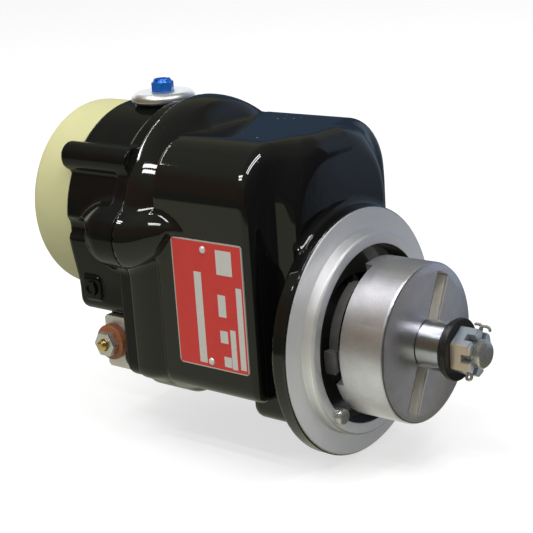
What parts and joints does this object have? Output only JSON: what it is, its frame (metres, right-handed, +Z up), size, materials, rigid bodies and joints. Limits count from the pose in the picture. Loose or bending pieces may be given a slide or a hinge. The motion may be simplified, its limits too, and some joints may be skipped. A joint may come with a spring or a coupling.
{
  "type": "aircraft magneto",
  "caption": "Aircraft engine magneto with a round pilot flange, black cast frame, slotted impulse coupling on the shaft end and a capped distributor housing at the rear.",
  "frame": {"origin": "shaft axis in the flange's mounting face", "axes": "+X along the shaft towards the drive end, +Z up, name plate on the -Y side"},
  "size_m": [0.17, 0.0954, 0.1258],
  "materials": {
    "black_casting": "gloss black enamel",
    "cap_plastic": "pale yellow moulded plastic",
    "red_plate": "red printed plate",
    "bright_steel": "ground and turned steel",
    "cover_metal": "satin pressed metal",
    "blue_screw": "blue anodised",
    "black_steel": "black oxide",
    "zinc_steel": "zinc plated",
    "rubber": "black rubber",
    "phenolic": "brown moulded",
    "brass": "drawn brass",
    "magnet": "ground magnet",
    "laminated_steel": "stacked sheet",
    "winding": "varnished winding",
    "spring_steel": "blued spring steel",
    "gear_plastic": "moulded nylon",
    "carbon": "pressed carbon"
  },
  "bodies": {
    "casing": {"drive_frame": "black_casting", "distributor_housing": "black_casting", "rear_cap": "cap_plastic", "name_plate": "red_plate", "plate_rivets": "bright_steel", "port_cover": "cover_metal", "port_gasket": "rubber", "port_screw": "blue_screw", "joint_screws": "black_steel", "vent_plug": "black_casting", "condenser_can": "cover_metal", "condenser_bracket": "cover_metal", "terminal_bush": "phenolic", "terminal_stud": "brass", "terminal_nut": "bright_steel", "front_outer_race": "bright_steel", "oil_seal": "rubber", "rear_outer_race": "bright_steel", "stop_pin": "bright_steel", "pole_shoes": "laminated_steel", "coil_core": "laminated_steel", "coil_winding": "winding", "coil_wedges": "brass", "coil_tab": "brass", "breaker_plate": "bright_steel", "breaker_screws": "bright_steel", "fixed_contact": "bright_steel", "distributor_block": "phenolic", "block_electrodes": "brass", "axle_bushes": "brass"},
    "rotor": {"rotor_shaft": "bright_steel", "rotor_magnet": "magnet", "rotor_poles": "laminated_steel", "rotor_gear": "brass", "breaker_cam": "bright_steel", "drive_key": "bright_steel", "coupling_hub": "bright_steel", "flyweight_rivets": "bright_steel", "dished_washer": "black_steel", "plain_washer": "black_steel", "slotted_nut": "zinc_steel", "cotter_pin": "bright_steel", "front_inner_race": "bright_steel", "rear_inner_race": "bright_steel"},
    "coupling": {"coupling_body": "bright_steel", "coupling_spring": "spring_steel"},
    "pawl_a": {"flyweight_a": "bright_steel"},
    "pawl_b": {"flyweight_b": "bright_steel"},
    "front_ball_set": {"front_balls": "bright_steel", "front_cage": "brass"},
    "rear_ball_set": {"rear_balls": "bright_steel", "rear_cage": "brass"},
    "distributor_rotor": {"distributor_gear": "gear_plastic", "distributor_axle": "bright_steel", "distributor_finger": "brass", "brush_spring": "spring_steel"},
    "brush": {"carbon_brush": "carbon"},
    "breaker_lever": {"breaker_arm": "phenolic"}
  },
  "joints": [
    {"name": "rotor_spin", "type": "hinge", "parent": "casing", "child": "rotor", "pos_m": [0, 0, 0], "axis": [1, 0, 0], "continuous": true},
    {"name": "distributor_spin", "type": "hinge", "parent": "casing", "child": "distributor_rotor", "pos_m": [0, 0, 0.036], "axis": [1, 0, 0], "continuous": true},
    {"name": "front_cage_spin", "type": "hinge", "parent": "casing", "child": "front_ball_set", "pos_m": [0, 0, 0], "axis": [1, 0, 0], "continuous": true},
    {"name": "rear_cage_spin", "type": "hinge", "parent": "casing", "child": "rear_ball_set", "pos_m": [0, 0, 0], "axis": [1, 0, 0], "continuous": true},
    {"name": "coupling_wind", "type": "hinge", "parent": "rotor", "child": "coupling", "pos_m": [0, 0, 0], "axis": [1, 0, 0], "range_deg": [0, 25], "stiffness_Nm_per_rad": 0.4, "deforming": ["coupling_spring"]},
    {"name": "flyweight_a_swing", "type": "hinge", "parent": "rotor", "child": "pawl_a", "pos_m": [0, -0.00727, 0.01559], "axis": [1, 0, 0], "range_deg": [-7, 0]},
    {"name": "flyweight_b_swing", "type": "hinge", "parent": "rotor", "child": "pawl_b", "pos_m": [0, 0.00727, -0.01559], "axis": [1, 0, 0], "range_deg": [-7, 0]},
    {"name": "breaker_open", "type": "hinge", "parent": "casing", "child": "breaker_lever", "pos_m": [0, 0.015, -0.01], "axis": [1, 0, 0], "range_deg": [0, 3], "stiffness_Nm_per_rad": 0.5},
    {"name": "brush_slide", "type": "slide", "parent": "distributor_rotor", "child": "brush", "axis": [-1, 0, 0], "range_m": [0, 0.0012], "stiffness_N_per_m": 300}
  ],
  "couplings": [
    {"joint": "distributor_spin", "follows": "rotor_spin", "ratio": -0.5},
    {"joint": "front_cage_spin", "follows": "rotor_spin", "ratio": 0.39},
    {"joint": "rear_cage_spin", "follows": "rotor_spin", "ratio": 0.386}
  ]
}
